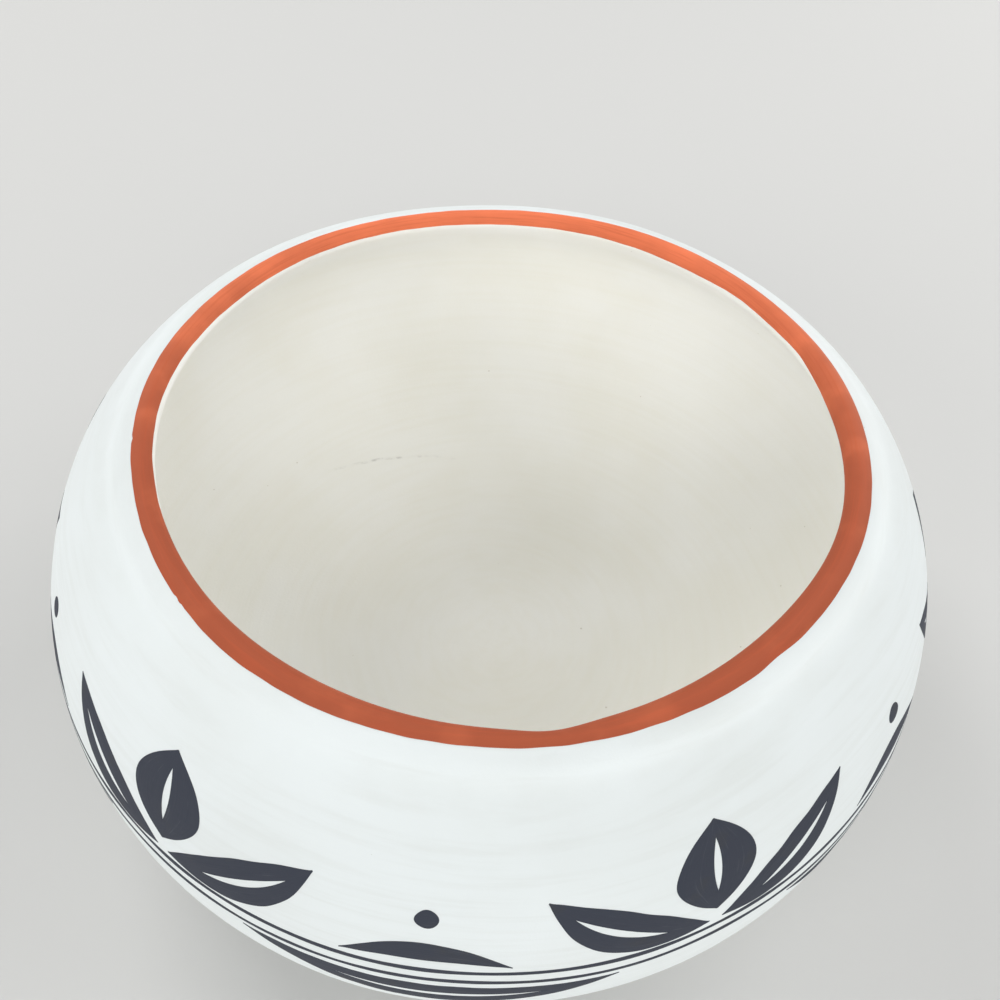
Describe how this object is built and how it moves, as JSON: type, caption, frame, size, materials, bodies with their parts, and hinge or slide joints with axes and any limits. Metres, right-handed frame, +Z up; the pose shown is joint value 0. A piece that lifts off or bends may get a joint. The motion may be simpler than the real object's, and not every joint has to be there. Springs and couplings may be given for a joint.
{
  "type": "planter bowl",
  "caption": "Round, incurved earthenware planter bowl with a wide mouth, a rounded red lip, a white slip coat and brushed leaf shapes round the belly.",
  "frame": {"origin": "centre of the resting face, on the bowl's axis", "axes": "+Z up along the bowl's axis and out of its mouth; -Y is the side that faces the viewer in the picture"},
  "size_m": [0.1782, 0.179, 0.087],
  "materials": {
    "clay": "matt, unglazed fired clay",
    "white_slip": "matt, stone-polished white slip",
    "red_slip": "satin, brushed red-orange slip",
    "charcoal_paint": "matt, brushed charcoal paint"
  },
  "bodies": {
    "root": {"clay_body": "clay", "white_slip_coat": "white_slip", "red_lip_band": "red_slip", "upper_framing_line": "charcoal_paint", "lower_framing_line": "charcoal_paint", "centre_leaf_1": "charcoal_paint", "centre_leaf_2": "charcoal_paint", "centre_leaf_3": "charcoal_paint", "centre_leaf_4": "charcoal_paint", "centre_leaf_5": "charcoal_paint", "centre_leaf_6": "charcoal_paint", "left_leaf_1": "charcoal_paint", "left_leaf_2": "charcoal_paint", "left_leaf_3": "charcoal_paint", "left_leaf_4": "charcoal_paint", "left_leaf_5": "charcoal_paint", "left_leaf_6": "charcoal_paint", "right_leaf_1": "charcoal_paint", "right_leaf_2": "charcoal_paint", "right_leaf_3": "charcoal_paint", "right_leaf_4": "charcoal_paint", "right_leaf_5": "charcoal_paint", "right_leaf_6": "charcoal_paint", "shoulder_arc_1": "charcoal_paint", "shoulder_arc_2": "charcoal_paint", "shoulder_arc_3": "charcoal_paint", "shoulder_arc_4": "charcoal_paint", "shoulder_arc_5": "charcoal_paint", "shoulder_arc_6": "charcoal_paint", "shoulder_dot_1": "charcoal_paint", "shoulder_dot_2": "charcoal_paint", "shoulder_dot_3": "charcoal_paint", "shoulder_dot_4": "charcoal_paint", "shoulder_dot_5": "charcoal_paint", "shoulder_dot_6": "charcoal_paint", "lower_leaf_1": "charcoal_paint", "lower_leaf_2": "charcoal_paint", "lower_leaf_3": "charcoal_paint", "lower_leaf_4": "charcoal_paint", "lower_leaf_5": "charcoal_paint", "lower_leaf_6": "charcoal_paint"}
  },
  "joints": []
}
